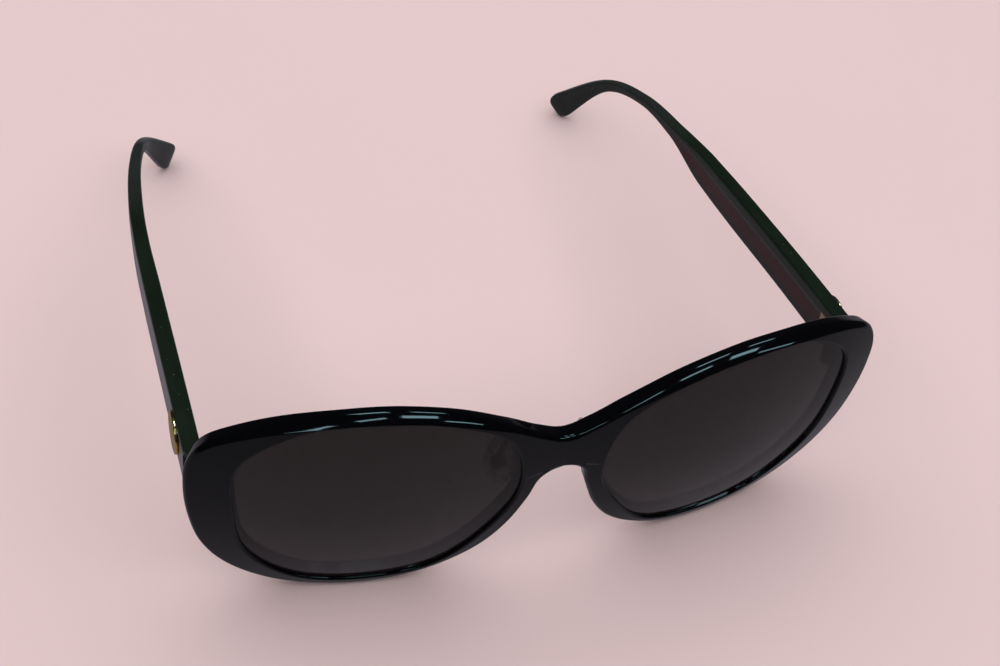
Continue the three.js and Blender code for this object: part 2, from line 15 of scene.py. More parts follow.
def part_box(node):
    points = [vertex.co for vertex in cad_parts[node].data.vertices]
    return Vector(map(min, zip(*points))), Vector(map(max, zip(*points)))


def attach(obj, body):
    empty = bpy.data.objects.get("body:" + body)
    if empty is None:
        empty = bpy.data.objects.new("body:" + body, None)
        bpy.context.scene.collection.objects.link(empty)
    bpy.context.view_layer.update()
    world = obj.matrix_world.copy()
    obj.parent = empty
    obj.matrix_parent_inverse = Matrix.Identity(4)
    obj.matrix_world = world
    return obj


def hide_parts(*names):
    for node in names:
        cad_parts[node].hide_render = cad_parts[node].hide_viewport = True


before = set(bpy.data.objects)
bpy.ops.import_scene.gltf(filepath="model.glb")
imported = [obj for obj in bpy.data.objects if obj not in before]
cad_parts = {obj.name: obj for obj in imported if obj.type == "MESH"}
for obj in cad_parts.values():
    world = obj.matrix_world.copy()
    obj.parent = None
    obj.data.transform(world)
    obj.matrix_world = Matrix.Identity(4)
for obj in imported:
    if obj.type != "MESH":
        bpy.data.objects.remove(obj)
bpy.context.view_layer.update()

# ---- Driving dimensions, in millimetres ----

MM = 0.001
TABLE = -28.8  # the table, below the datum

# The bent sheet that the front and the lenses follow
LENS_X = 37.0
BASE_CURVE = 107.0
FACE_FORM = 0.135
BRIDGE_HALF = 11.0

FRONT_DEPTH = 4.0
LIP = 0.3
BACK_CHAMFER = 0.5
SIDE_BEVEL = 0.8
RIM_BEVEL = 1.7
BEVEL_STEEPNESS = 1.15
EDGE_ROUND = 0.35  # how far the polish rounds each edge back
BEVEL_CROWN = 0.12  # of the bevel over a straight line
CROWN_WAY = (0.75, 0.65)  # how much of the crown goes outwards and forwards
FACE_MARGIN = 0.45  # of flat face or back beside an edge
LIP_ROUND = 0.15
LIP_MARGIN = 0.3
OUTLINE_STEPS = 480  # along half the outline
BRIDGE_STEPS = 30
OUTLINE = [
    (0, 12.6), (5.2, 14.6), (12.2, 19), (22.6, 23.9), (35, 26.5), (46, 26.2), (56, 24.4), (64.2, 21),
    (69, 17.6), (71.6, 12.6), (72.2, 6), (71.4, -3), (69, -12), (63.8, -20), (55, -26.4), (43, -29.2),
    (32, -28.9), (22.6, -25.9), (14.4, -19.8), (9.2, -12), (6, -3.8), (4, 2.1), (0, 4),
]
APERTURE = [
    (63.4, 0), (62.2, 14.2), (50.4, 23.2), (37, 24.5), (24.2, 22.2), (11.9, 14.5),
    (8.8, 0), (14.6, -12.9), (23.7, -23), (37, -25.7), (50.5, -23.4), (60.4, -13.5),
]

LENS_RECESS = 0.75
LENS_THICKNESS = 1.4
LENS_OVERHANG = 0.5
LENS_STEPS = 240  # round the edge
LENS_RINGS = 20

# Centreline of a temple, with the height and thickness of the bar at each point
TEMPLE_LINE = [
    (69.2, 12.2, 6.4, 9.6, 3.6), (68.1, 40, 2.5, 9.2, 3.6), (67.1, 64, -1.4, 8.9, 3.5),
    (66.3, 80, -3.8, 8, 3.2), (64.9, 94, -4.6, 3.4, 3.1), (62.4, 108, -6.5, 2.2, 2.7),
    (58.4, 120.5, -12.2, 2.8, 2.4), (50.3, 130.6, -27.4, 7.2, 2.4),
]
TEMPLE_ROUND = 0.85
MITRE_RINGS = 12  # the foremost, moved back where they would pass the slanted end
MITRE_GAP = 0.45  # least gap between the slanted end and the back of the front
MITRE_SPREAD = 0.25  # more than that at the first ring, and less at each one after it
BAR_RINGS = 190
TIP_RINGS = 16
TIP_FROM = 0.97  # share of the line where the tip starts to round off
TIP_POWER = 2.6
TIP_LEAST = 0.12  # share of its full size that the last ring keeps

HINGE_X = 68.0
HINGE_Z = 6.1
HINGE_STAND_OFF = 2.7
BARREL_RADIUS = 1.6
BARREL_HEIGHT = 2.3
BARREL_PITCH = 2.6
SCREW_HEAD_RADIUS = 1.25
SCREW_RADIUS = 0.6
FRONT_LEAF = ((-1.1, -1.0, -4.3), (1.4, 0.0, 4.3))  # corners in the hinge's own axes
TEMPLE_LEAF_Y = 15.4
TEMPLE_LEAF_LENGTH = 8.6
TEMPLE_LEAF_HEIGHT = 5.0
WEB_WIDTH = 2.0
WEB_HALF_HEIGHT = BARREL_HEIGHT / 2 - 0.02

ROUNDEL_AT = 0.064  # share of the temple's line
ROUNDEL_STEPS = 96
ROUNDEL_PROFILE = [  # distance out from the temple's face, and radius
    (-1.0, 0.0), (-1.0, 0.6), (0.02, 0.62), (0.02, 4.2), (0.06, 4.28), (0.2, 4.3), (0.38, 4.3),
    (0.5, 4.25), (0.57, 4.15), (0.6, 4.0), (0.6, 3.6), (0.57, 3.45), (0.5, 3.32), (0.42, 3.22),
    (0.38, 3.1), (0.38, 2.9), (0.38, 2.65), (0.41, 2.5), (0.5, 2.28), (0.6, 2.05), (0.67, 1.9),
    (0.7, 1.75), (0.69, 1.5), (0.65, 1.3), (0.64, 1.1), (0.68, 0.9), (0.76, 0.7), (0.81, 0.45),
    (0.83, 0.2), (0.83, 0.0),
]
FLUTES = 32
FLUTE_DEPTH = 0.012  # share of the radius
FLUTED_FROM = 4.0  # radius

PAD_CENTRE = (8.6, 10.2, -3.4)
PAD_SPLAY = math.radians(28)
PAD_FLARE = math.radians(14)
PAD_HALF = (1.25, 3.8, 6.6)  # thickness, width, height
PAD_BACK = 0.7
PAD_EDGE_SOFTNESS = 0.12
PAD_STEPS = 72
PAD_ROWS = 48
INSERT_RADIUS = 1.7
EYE_RADIUS = 1.5
EYE_SPAN = (1.2, 1.9)
ARM_RADIUS = 0.55
ARM_ROOT = (6.4, 6.6)
ARM_ROOT_DEPTH = 1.6
ARM_BENDS = [(6.7, 6.6, 6.2), (8.5, 9.2, 4.2)]

TURNED_STEPS = 48  # round barrels, screws, discs and eyes
SLOT_HALF_WIDTH = {"hinge": 0.18, "pad": 0.16}

SIDES = {"left": 1, "right": -1}

# Light and camera, in metres and degrees
OVERHEAD_POWER = 71
OVERHEAD_COLOUR = (1.0, 0.985, 0.975)
WINDOW_RADIANCE = 9
WINDOW_COLOUR = (0.55, 0.9, 1.0)
WINDOW_HEIGHT = 1.1
WINDOWS = [  # start, end and width of each strip
    ((-0.8, -1.2), (-0.28, -0.66), 0.07),
    ((-0.1, -0.52), (0.16, -0.44), 0.08),
    ((0.34, -0.4), (0.72, -0.4), 0.16),
    ((0.84, -0.68), (1.5, -0.75), 0.08),
    ((0.5, 0.12), (0.86, 0.12), 0.3),
    ((-0.02, 0.12), (0.26, 0.12), 0.4),
]
SURROUND = [  # colour of the studio from straight down to straight up
    (0.0, (0.22, 0.20, 0.225)),
    (0.38, (0.20, 0.185, 0.21)),
    (0.47, (0.024, 0.024, 0.026)),
    (1, (0.016, 0.017, 0.018)),
]
FOCAL_LENGTH = 61.2  # millimetres, on a 36 mm sensor
CAMERA_FROM_DATUM = (-107.397, -168.987, 265.95)  # millimetres
CAMERA_TURN = (40.75667, -7.60582, -18.67141)

# The datum in the frame. The front's foremost point is DATUM_LEAD in front of it.
DATUM_LEAD = 0.1236
datum = Vector((0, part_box("front_frame")[0].y + DATUM_LEAD * MM, -TABLE * MM))


# ---- Curves and points ----


def catmull_rom(points, shares, closed=False):
    """Points at shares of a centripetal Catmull-Rom curve, on which every span takes the same share."""
    p = np.asarray(points, float)
    spans = len(p) if closed else len(p) - 1
    if closed:
        p = np.vstack([p[-1], p, p[0], p[1]])
    else:
        p = np.vstack([2 * p[0] - p[1], p, 2 * p[-1] - p[-2]])
    position = np.clip(np.asarray(shares, float), 0, 1) * spans
    i = np.minimum(position.astype(int), spans - 1)
    t = (position - i)[:, None]
    a, b, c, d = p[i], p[i + 1], p[i + 2], p[i + 3]
    steps = (b - a, c - b, d - c)
    ab, bc, cd = (np.sqrt(np.linalg.norm(step, axis=1, keepdims=True)) for step in steps)
    leaving = ((b - a) / ab - (c - a) / (ab + bc) + (c - b) / bc) * bc
    arriving = ((c - b) / bc - (d - b) / (bc + cd) + (d - c) / cd) * bc
    return (
        b
        + t * leaving
        + t**2 * (3 * (c - b) - 2 * leaving - arriving)
        + t**3 * (2 * (b - c) + leaving + arriving)
    )


def unit(v):
    return v / np.maximum(np.linalg.norm(v, axis=-1, keepdims=True), 1e-12)


def smoothstep(x, low, high):
    t = np.clip((x - low) / (high - low), 0, 1)
    return t * t * (3 - 2 * t)


def sheet(x, z):
    """Points of the bent sheet, and the way into the material there."""
    across = np.maximum(x, BRIDGE_HALF) - LENS_X
    y = FACE_FORM * across + (across**2 + z**2) / (2 * BASE_CURVE)
    slope = FACE_FORM + across / BASE_CURVE
    level = np.maximum(BRIDGE_HALF**2 - x**2, 0) / (2 * BRIDGE_HALF)
    y = y - slope * level
    slope = slope * np.minimum(x / BRIDGE_HALF, 1)
    inwards = unit(np.stack([-slope, np.ones_like(x), -z / BASE_CURVE], -1))
    return np.stack([x, y, z], -1), inwards


def on_sheet(x, z, depth):
    surface, inwards = sheet(np.asarray(x, float), np.asarray(z, float))
    return surface + inwards * np.asarray(depth, float)[..., None]


def rounded(corners, radius, steps=4):
    """A chain of corners, with each one between the ends turned into a short curve."""
    chain = [corners[0]]
    for before, corner, after in zip(corners, corners[1:], corners[2:]):
        start, end = (
            corner + unit(other - corner) * min(radius, 0.45 * np.linalg.norm(other - corner))
            for other in (before, after)
        )
        for t in np.linspace(0, 1, steps + 1):
            chain.append((1 - t) ** 2 * start + 2 * t * (1 - t) * corner + t**2 * end)
    return np.array([*chain, corners[-1]])


# ---- Meshes ----


def place(points, side=1):
    """Datum millimetres to frame metres."""
    return np.asarray(points, float) * MM * (side, 1, 1) + np.array(datum)


def mesh_piece(name, points, faces, side=1, merge=False):
    """A smooth-shaded piece from datum points and faces; on the wearer's right it is mirrored."""
    mesh = bpy.data.meshes.new(name)
    if side < 0:
        faces = [tuple(reversed(f)) for f in faces]
    mesh.from_pydata(place(points, side).tolist(), [], faces)
    if merge:
        work = bmesh.new()
        work.from_mesh(mesh)
        bmesh.ops.remove_doubles(work, verts=work.verts, dist=1e-7)
        bmesh.ops.recalc_face_normals(work, faces=work.faces)
        work.to_mesh(mesh)
        work.free()
    mesh.shade_smooth()
    mesh.validate()
    piece = bpy.data.objects.new(name, mesh)
    bpy.context.scene.collection.objects.link(piece)
    return piece


def keep_edges_crisp(piece, degrees=35):
    mesh = piece.data
    mesh.set_sharp_from_angle(angle=math.radians(degrees))


def grid_faces(rings, count, closed_rings=False, closed_chain=True):
    faces = []
    for r in range(rings if closed_rings else rings - 1):
        s = (r + 1) % rings
        for i in range(count if closed_chain else count - 1):
            j = (i + 1) % count
            faces.append((r * count + i, r * count + j, s * count + j, s * count + i))
    return faces


def tube_piece(name, rings, side=1):
    """A skin over rings of points, with both ends closed by a fan."""
    rings = np.asarray(rings, float)
    count = rings.shape[1]
    points = [*rings.reshape(-1, 3), rings[0].mean(0), rings[-1].mean(0)]
    faces = grid_faces(len(rings), count)
    first, last = len(points) - 2, len(points) - 1
    base = (len(rings) - 1) * count
    for i in range(count):
        j = (i + 1) % count
        faces.append((first, j, i))
        faces.append((last, base + i, base + j))
    return mesh_piece(name, points, faces, side)


def lathe_rings(profile, count):
    """Rings round X from (distance along X, radius) pairs."""
    angles = np.arange(count) * 2 * math.pi / count
    return np.array([
        [(along, radius * math.cos(a), radius * math.sin(a)) for a in angles] for along, radius in profile
    ])


def moved(points, matrix):
    m = np.array(matrix)
    return np.asarray(points) @ m[:3, :3].T + m[:3, 3]


def basis(origin, x, y, z):
    m = np.eye(4)
    m[:3, 0], m[:3, 1], m[:3, 2], m[:3, 3] = x, y, z, origin
    return m


def box_rings(low, high, round_edge, steps=3):
    """Rings along Z of a block with rounded edges."""
    (x0, y0, z0), (x1, y1, z1) = low, high
    corners = np.array([(x0, y0), (x1, y0), (x1, y1), (x0, y1)], float)
    chain = rounded(np.array([*corners[-1:], *corners, *corners[:1]]), round_edge, steps)[1:-1]
    middle = np.array([(x0 + x1) / 2, (y0 + y1) / 2])
    levels = [(z0, 1), (z0 + 0.3 * round_edge, 0.3), (z0 + round_edge, 0)]
    levels += [(z1 - round_edge, 0), (z1 - 0.3 * round_edge, 0.3), (z1, 1)]
    half = np.array([(x1 - x0) / 2, (y1 - y0) / 2])
    out = []
    for z, inset in levels:
        scale = (half - inset * round_edge) / half
        flat = middle + (chain - middle) * scale
        out.append([(x, y, z) for x, y in flat])
    return np.array(out)


def join_pieces(name, pieces):
    """One piece from several."""
    work = bmesh.new()
    for piece in pieces:
        work.from_mesh(piece.data)
        bpy.data.objects.remove(piece)
    mesh = bpy.data.meshes.new(name)
    work.to_mesh(mesh)
    work.free()
    joined = bpy.data.objects.new(name, mesh)
    bpy.context.scene.collection.objects.link(joined)
    return joined


# ---- Materials ----


class Nodes:
    """A material being made: one Principled shader, and helpers that wire nodes to it."""

    def __init__(self, name, **constants):
        self.material = bpy.data.materials.new(name)
        self.material.use_nodes = True
        self.tree = self.material.node_tree
        self.shader = self.tree.nodes["Principled BSDF"]
        for socket, value in constants.items():
            self.shader.inputs[socket.replace("_", " ")].default_value = value
        self.object = self.node("ShaderNodeTexCoord").outputs["Object"]

    def node(self, kind, **properties):
        node = self.tree.nodes.new(kind)
        for key, value in properties.items():
            setattr(node, key, value)
        return node

    def link(self, source, target):
        self.tree.links.new(source, target)

    def feed(self, socket, source):
        self.link(source, self.shader.inputs[socket])

    def put(self, socket, value):
        """A number or a colour is set on the socket, and an output is linked to it."""
        if isinstance(value, bpy.types.NodeSocket):
            self.link(value, socket)
        else:
            socket.default_value = value

    def noise(self, scale, detail=2.0, roughness=0.5, stretch=(1, 1, 1), kind="ShaderNodeTexNoise"):
        mapping = self.node("ShaderNodeMapping")
        mapping.inputs["Scale"].default_value = stretch
        self.link(self.object, mapping.inputs["Vector"])
        texture = self.node(kind)
        texture.inputs["Scale"].default_value = scale
        if kind == "ShaderNodeTexNoise":
            texture.inputs["Detail"].default_value = detail
            texture.inputs["Roughness"].default_value = roughness
        self.link(mapping.outputs["Vector"], texture.inputs["Vector"])
        return texture.outputs[0]

    def ramp(self, value, stops, smooth=False):
        """value through a colour ramp of (position, colour) stops."""
        node = self.node("ShaderNodeValToRGB")
        node.color_ramp.interpolation = "EASE" if smooth else "LINEAR"
        elements = node.color_ramp.elements
        while len(elements) < len(stops):
            elements.new(0.5)
        for element, (position, colour) in zip(elements, stops):
            element.position = position
            element.color = (*colour, 1) if len(colour) == 3 else colour
        self.put(node.inputs["Fac"], value)
        return node.outputs["Color"]

    def spread(self, value, low, high, to_low, to_high):
        node = self.node("ShaderNodeMapRange")
        for key, number in zip(("From Min", "From Max", "To Min", "To Max"), (low, high, to_low, to_high)):
            node.inputs[key].default_value = number
        self.put(node.inputs["Value"], value)
        return node.outputs["Result"]

    def maths(self, operation, a, b=0.5):
        node = self.node("ShaderNodeMath", operation=operation)
        self.put(node.inputs[0], a)
        self.put(node.inputs[1], b)
        return node.outputs[0]

    def mix(self, share, a, b):
        node = self.node("ShaderNodeMix", data_type="RGBA")
        self.put(node.inputs["Factor"], share)
        for socket, colour in ((node.inputs["A"], a), (node.inputs["B"], b)):
            self.put([s for s in node.inputs if s.name == socket.name and s.type == "RGBA"][0], colour)
        return [s for s in node.outputs if s.type == "RGBA"][0]

    def attribute(self, name):
        return self.node("ShaderNodeAttribute", attribute_name=name).outputs["Fac"]

    def bump(self, height, distance, strength=1.0):
        node = self.node("ShaderNodeBump")
        node.inputs["Distance"].default_value = distance
        node.inputs["Strength"].default_value = strength
        self.put(node.inputs["Height"], height)
        self.feed("Normal", node.outputs["Normal"])


def dust(nodes, scale, radius):
    """1 in small specks, sparse and uneven, and 0 elsewhere."""
    cells = nodes.noise(scale, kind="ShaderNodeTexVoronoi")
    specks = nodes.spread(cells, radius * 0.5, radius, 1.0, 0.0)
    patches = nodes.spread(nodes.noise(60, 2), 0.48, 0.62, 0.0, 1.0)
    return nodes.maths("MULTIPLY", specks, patches)


def black_acetate():
    m = Nodes("black_acetate", Specular_IOR_Level=0.34)
    wear = m.noise(900, 4, 0.6)
    tone = m.ramp(m.noise(35, 3), [(0.3, (0.0008, 0.0009, 0.0014)), (0.7, (0.0014, 0.0016, 0.0024))])
    m.feed("Base Color", m.mix(dust(m, 900, 0.08), tone, (0.05, 0.05, 0.055, 1)))
    m.feed("Roughness", m.spread(wear, 0.35, 0.7, 0.035, 0.085))
    m.bump(m.noise(140, 1), 0.00002, 0.35)
    return m.material


def smoke_lens():
    m = Nodes("smoke_lens", Specular_IOR_Level=0.42)
    place_z = m.node("ShaderNodeSeparateXYZ")
    m.link(m.object, place_z.inputs[0])
    low, high = (corner.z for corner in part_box("left_lens"))
    height = m.spread(place_z.outputs["Z"], low, high, 0, 1)
    tint = m.ramp(
        height,
        [(0, (0.022, 0.0165, 0.017)), (0.5, (0.006, 0.0042, 0.0036)), (1, (0.007, 0.0052, 0.0034))],
    )
    m.feed("Base Color", m.mix(dust(m, 520, 0.07), tint, (0.06, 0.055, 0.05, 1)))
    m.feed("Roughness", m.spread(m.noise(260, 3), 0.4, 0.75, 0.03, 0.09))
    m.feed("Alpha", m.spread(height, 0, 1, 0.83, 0.88))
    return m.material


def laminated_acetate():
    """Sheets of acetate laid one on the other, seen on edge on both faces of the temple, with a thin
    blue-grey band of painted highlight laid among them.
    """
    m = Nodes("laminated_acetate", Specular_IOR_Level=0.4)
    drift = m.spread(m.noise(120, 2, 0.5, (1, 0.15, 1)), 0, 1, -0.018, 0.018)
    layer = m.maths("ADD", m.attribute("layer"), drift)
    green = (0.0075, 0.0135, 0.0085)
    charcoal = (0.0095, 0.0095, 0.0098)
    red = (0.033, 0.0065, 0.0065)
    stripes_and_painted_highlight = m.ramp(
        layer,
        [
            (0.0, charcoal),
            (0.22, charcoal),
            (0.26, red),
            (0.66, red),
            # The thin blue-grey band between the red and the green is a painted highlight. It is the
            # reflection along the temple's edge, laid into the stack as if it were another sheet.
            (0.69, (0.030, 0.036, 0.040)),
            (0.72, (0.026, 0.032, 0.035)),
            (0.75, green),
            (1.0, green),
        ],
    )
    # At the bar's waist the layers run out into one dark green
    faded = m.mix(m.spread(m.attribute("reach"), 0.5, 0.62, 0, 1), stripes_and_painted_highlight, (0.017, 0.021, 0.019, 1))
    cloud = m.spread(m.noise(220, 5, 0.6, (1, 0.3, 1)), 0.3, 0.75, 0.8, 1.25)
    shaded = m.node("ShaderNodeVectorMath", operation="SCALE")
    m.link(faded, shaded.inputs[0])
    m.link(cloud, shaded.inputs["Scale"])
    m.feed("Base Color", m.mix(dust(m, 700, 0.10), shaded.outputs[0], (0.10, 0.10, 0.10, 1)))
    m.feed("Roughness", m.spread(m.noise(700, 4), 0.35, 0.7, 0.08, 0.17))
    m.bump(m.noise(180, 2), 0.00002, 0.3)
    return m.material


def metal(name, light, dark, rough, grain=2200, stretch=(1, 1, 1)):
    m = Nodes(name, Metallic=1.0)
    m.feed("Base Color", m.ramp(m.noise(500, 4, 0.6), [(0.3, dark), (0.7, light)]))
    brushed = m.noise(grain, 4, 0.7, stretch)
    m.feed("Roughness", m.spread(brushed, 0.3, 0.7, rough[0], rough[1]))
    m.bump(brushed, 0.000004, 0.4)
    return m.material


def silicone():
    m = Nodes("silicone", Transmission_Weight=0.8, IOR=1.41)
    tone = m.ramp(m.noise(160, 3), [(0.3, (0.80, 0.76, 0.72)), (0.75, (0.90, 0.88, 0.85))])
    m.feed("Base Color", tone)
    m.feed("Roughness", m.spread(m.noise(900, 3), 0.35, 0.7, 0.16, 0.34))
    m.bump(m.noise(1500, 3), 0.00001, 0.3)
    return m.material


def table_top():
    m = Nodes("table_top", Roughness=0.75, Specular_IOR_Level=0.2)
    tone = m.ramp(m.noise(8, 3), [(0.3, (0.790, 0.602, 0.611)), (0.7, (0.806, 0.614, 0.623))])
    m.feed("Base Color", tone)
    return m.material


MATERIALS = {
    "black_acetate": black_acetate(),
    "smoke_lens": smoke_lens(),
    "laminated_acetate": laminated_acetate(),
    "core_steel": metal("core_steel", (0.62, 0.60, 0.57), (0.50, 0.48, 0.46), (0.25, 0.4)),
    "hinge_bronze": metal("hinge_bronze", (0.80, 0.52, 0.34), (0.62, 0.38, 0.24), (0.22, 0.38)),
    "gilt_metal": metal("gilt_metal", (0.95, 0.68, 0.28), (0.80, 0.53, 0.20), (0.12, 0.26)),
    "pad_steel": metal("pad_steel", (0.78, 0.74, 0.68), (0.60, 0.57, 0.52), (0.14, 0.3)),
    "silicone": silicone(),
}


def finish(piece, slot, body, *nodes):
    piece.data.materials.clear()
    piece.data.materials.append(MATERIALS[slot])
    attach(piece, body)
    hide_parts(*nodes)
    return piece


# ---- The front ----


def loop_direction(loop, at):
    """The way along a closed curve at shares of it, not of unit length."""
    step = 1e-5
    after = catmull_rom(loop, (at + step) % 1, closed=True)
    return after - catmull_rom(loop, (at - step) % 1, closed=True)


def outline_columns(count):
    """Even points of half the outline, from nose arch to bridge top, and their outward normals."""
    t = np.linspace(0, 0.5, 6001)
    loop = [*OUTLINE, *((-x, z) for x, z in reversed(OUTLINE[1:-1]))]
    dense = catmull_rom(loop, t, closed=True)
    length = np.concatenate([[0], np.cumsum(np.linalg.norm(np.diff(dense, axis=0), axis=1))])
    at = np.interp(np.linspace(length[-1], 0, count), length, t)
    points = catmull_rom(loop, at, closed=True)
    along = loop_direction(loop, at)
    normals = unit(np.stack([-along[:, 1], along[:, 0]], -1))
    for end, way in ((0, -1), (-1, 1)):
        points[end, 0] = 0
        normals[end] = (0, way)
    return points, normals


def aperture_rays(angles):
    """Points of the lens opening seen from the lens centre at each angle, and their outward normals."""
    t = np.arange(24000) / 24000
    dense = catmull_rom(APERTURE, t, closed=True)
    seen = np.unwrap(np.arctan2(dense[:, 1], dense[:, 0] - LENS_X))
    wanted = seen[0] + (np.asarray(angles) - seen[0]) % (2 * math.pi)
    at = np.interp(wanted, np.append(seen, seen[0] + 2 * math.pi), np.append(t, 1))
    points = catmull_rom(APERTURE, at % 1, closed=True)
    along = loop_direction(APERTURE, at)
    return points, unit(np.stack([along[:, 1], -along[:, 0]], -1))


def turn_between(a, b):
    return np.abs((a - b + math.pi) % (2 * math.pi) - math.pi)


def bevel_width(angles):
    """Narrow at the sides, and wide over and under the lens, at angles seen from its centre."""
    reach = 1.15
    turn = np.minimum(turn_between(angles, math.pi / 2), turn_between(angles, -math.pi / 2))
    nearness = 1 - np.minimum(1, turn / reach)
    return SIDE_BEVEL + (RIM_BEVEL - SIDE_BEVEL) * smoothstep(nearness, 0, 0.6)


def wall_profile(bevel, face):
    """(inset, depth) from the flat face over the crowned bevel and down the wall to the back."""
    deep = bevel * BEVEL_STEEPNESS
    crown = []
    for t in (0.2, 0.35, 0.5, 0.65, 0.8):
        bulge = 4 * BEVEL_CROWN * t * (1 - t)
        crown.append((bevel * (1 - t) - CROWN_WAY[0] * bulge, deep * t - CROWN_WAY[1] * bulge))
    chain = [(bevel + face, 0), (bevel, 0), *crown, (0, deep), (0, FRONT_DEPTH - BACK_CHAMFER)]
    chain += [(BACK_CHAMFER, FRONT_DEPTH), (BACK_CHAMFER + FACE_MARGIN, FRONT_DEPTH)]
    return rounded(np.array(chain), EDGE_ROUND)


def front_piece():
    outer, outer_normal = outline_columns(OUTLINE_STEPS + 1)
    top, bottom = outer[-1, 1], outer[0, 1]
    angles = np.arctan2(outer[:, 1], outer[:, 0] - LENS_X)
    down = np.arange(1, BRIDGE_STEPS) / BRIDGE_STEPS
    angles = np.append(angles, np.arctan2(top + (bottom - top) * down, -LENS_X))
    inner, inner_normal = aperture_rays(angles)
    bevels = bevel_width(angles)
    bevels[OUTLINE_STEPS + 1 :] = bevels[OUTLINE_STEPS] + (bevels[0] - bevels[OUTLINE_STEPS]) * down

    across = np.array([[0.1], [0.5], [0.9]])
    sections = []
    for i, bevel in enumerate(bevels):
        if i <= OUTLINE_STEPS:
            rim = (outer[i] - inner[i]) @ outer_normal[i]
        face = FACE_MARGIN * min(1.0, max(0.0, rim - bevel - LIP))
        wall_chain = wall_profile(bevel, face)
        lip_chain = rounded(
            np.array([
                (LIP + LIP_MARGIN, FRONT_DEPTH), (LIP, FRONT_DEPTH), (0, FRONT_DEPTH - LIP),
                (0, LIP), (LIP, 0), (LIP + min(LIP_MARGIN, face), 0),
            ]),
            LIP_ROUND,
        )
        if i <= OUTLINE_STEPS:
            wall = outer[i] - outer_normal[i] * wall_chain[:, :1]
        else:
            share = down[i - OUTLINE_STEPS - 1]
            z = (top - wall_chain[:, 0]) * (1 - share) + (bottom + wall_chain[:, 0]) * share
            wall = np.stack([np.zeros_like(z), z], -1)
        lip = inner[i] + inner_normal[i] * lip_chain[:, :1]
        back = wall[-1] + (lip[0] - wall[-1]) * across
        face_points = lip[-1] + (wall[0] - lip[-1]) * across
        flat = np.vstack([wall, back, lip, face_points])
        level = np.zeros(len(across))
        depth = np.concatenate([wall_chain[:, 1], level + FRONT_DEPTH, lip_chain[:, 1], level])
        section = on_sheet(flat[:, 0], flat[:, 1], depth)
        section[:, 2] = np.maximum(section[:, 2], TABLE)
        sections.append(section)
    wall_count = len(wall_chain)
    count = len(sections[0])
    faces = []
    for i in range(len(sections)):
        following = (i + 1) % len(sections)
        for j in range(count):
            # The two halves meet inside the bridge, where there is no wall
            if i >= OUTLINE_STEPS and j < wall_count - 1:
                continue
            k = (j + 1) % count
            faces.append((i * count + j, i * count + k, following * count + k, following * count + j))
    half = np.vstack(sections)
    both = np.vstack([half, half * (-1, 1, 1)])
    faces += [tuple(len(half) + v for v in reversed(face)) for face in faces]
    return mesh_piece("front_acetate", both, faces, merge=True)


# ---- Lenses ----


def lens_piece(side_name, side):
    angles = np.arange(LENS_STEPS) * 2 * math.pi / LENS_STEPS - math.pi
    edge, normal = aperture_rays(angles)
    edge = edge + normal * LENS_OVERHANG
    centre = np.array([LENS_X, 0])
    shares = np.arange(1, LENS_RINGS + 1) / LENS_RINGS
    front = [centre + (edge - centre) * share for share in shares]
    near, far = LENS_RECESS, LENS_RECESS + LENS_THICKNESS
    rings = [on_sheet(ring[:, 0], ring[:, 1], [near] * LENS_STEPS) for ring in front]
    rings += [on_sheet(ring[:, 0], ring[:, 1], [far] * LENS_STEPS) for ring in reversed(front)]
    points = [*np.vstack(rings), *on_sheet([LENS_X] * 2, [0] * 2, [near, far])]
    first, last = len(points) - 2, len(points) - 1
    faces = grid_faces(len(rings), LENS_STEPS)
    base = (len(rings) - 1) * LENS_STEPS
    for i in range(LENS_STEPS):
        j = (i + 1) % LENS_STEPS
        faces.append((first, j, i))
        faces.append((last, base + i, base + j))
    piece = mesh_piece(f"{side_name}_tinted_lens", points, faces, side, merge=True)
    keep_edges_crisp(piece)
    return finish(piece, "smoke_lens", "front", f"{side_name}_lens")


# ---- Temples ----


def temple_at(shares):
    """Centres, axes and sizes of the bar at shares of its line."""
    shares = np.atleast_1d(np.asarray(shares, float))
    line = [p[:3] for p in TEMPLE_LINE]
    sizes = [(i, p[3], p[4]) for i, p in enumerate(TEMPLE_LINE)]
    centre = catmull_rom(line, shares)
    step = 1e-4
    after = catmull_rom(line, np.minimum(shares + step, 1))
    along = unit(after - catmull_rom(line, np.maximum(shares - step, 0)))
    outwards = unit(np.stack([along[:, 1], -along[:, 0], np.zeros(len(along))], -1))
    up = np.cross(outwards, along)
    size = catmull_rom(sizes, shares)
    return centre, along, outwards, up, size[:, 1], size[:, 2]


def hinge_axes():
    """Axes of the back of the front at the hinge: X outwards along it, Y away from it, Z up."""
    base = on_sheet(HINGE_X, HINGE_Z, FRONT_DEPTH)
    _, inwards = sheet(np.array(HINGE_X), np.array(HINGE_Z))
    away = unit(inwards * (1, 1, 0))
    outwards = np.cross(away, (0, 0, 1))
    return basis((base[0], base[1], HINGE_Z), outwards, away, (0, 0, 1))


def bar_section(half_thickness, half_height, radius):
    """Rounded rectangle, as (outwards, up) pairs, anticlockwise seen from the tip."""
    t, h = half_thickness, half_height
    corners = np.array([(t, -h), (t, h), (-t, h), (-t, -h)])
    loop = np.array([corners[-1], *corners, corners[0]])
    steps = 6
    chain = rounded(loop, radius, steps)[1:-1]
    out = []
    for i, point in enumerate(chain):
        out.append(point)
        # After the last point of a corner come those of the straight side
        if i % (steps + 1) == steps:
            following = chain[(i + 1) % len(chain)]
            out += [point + (following - point) * share for share in (0.08, 0.3, 0.5, 0.7, 0.92)]
    return np.array(out)


